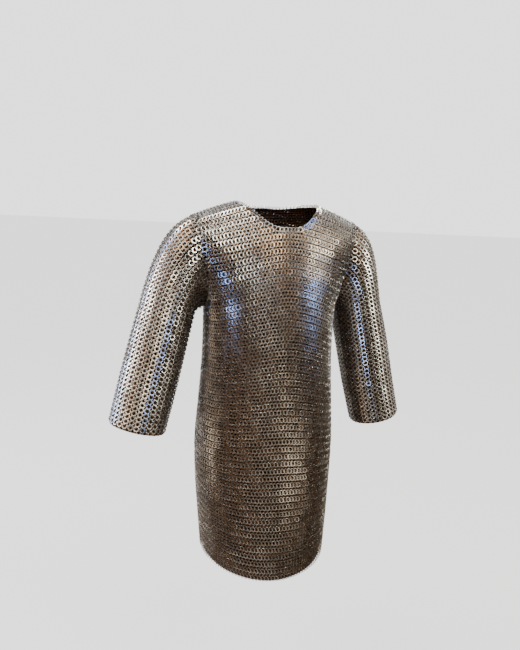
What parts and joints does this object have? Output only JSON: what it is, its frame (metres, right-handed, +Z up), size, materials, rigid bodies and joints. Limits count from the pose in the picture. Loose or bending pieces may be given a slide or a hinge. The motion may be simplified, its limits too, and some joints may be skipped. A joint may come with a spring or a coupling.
{
  "type": "chainmail hauberk",
  "caption": "Shirt of linked steel rings with a round neck and elbow-length sleeves, in its worn, hollow form.",
  "frame": {"origin": "middle of the neck opening, at the height of the shoulder ridge where the wearer carries the shirt", "axes": "+Z up, -Y out of the chest, +X towards the wearer's left"},
  "size_m": [0.7224, 0.2713, 0.8654],
  "materials": {
    "mail": "linked round steel rings, lightly oiled, bright on their crests and dark between"
  },
  "bodies": {
    "root": {"front": "mail", "back": "mail", "sleeve_right": "mail", "sleeve_left": "mail"}
  },
  "joints": []
}
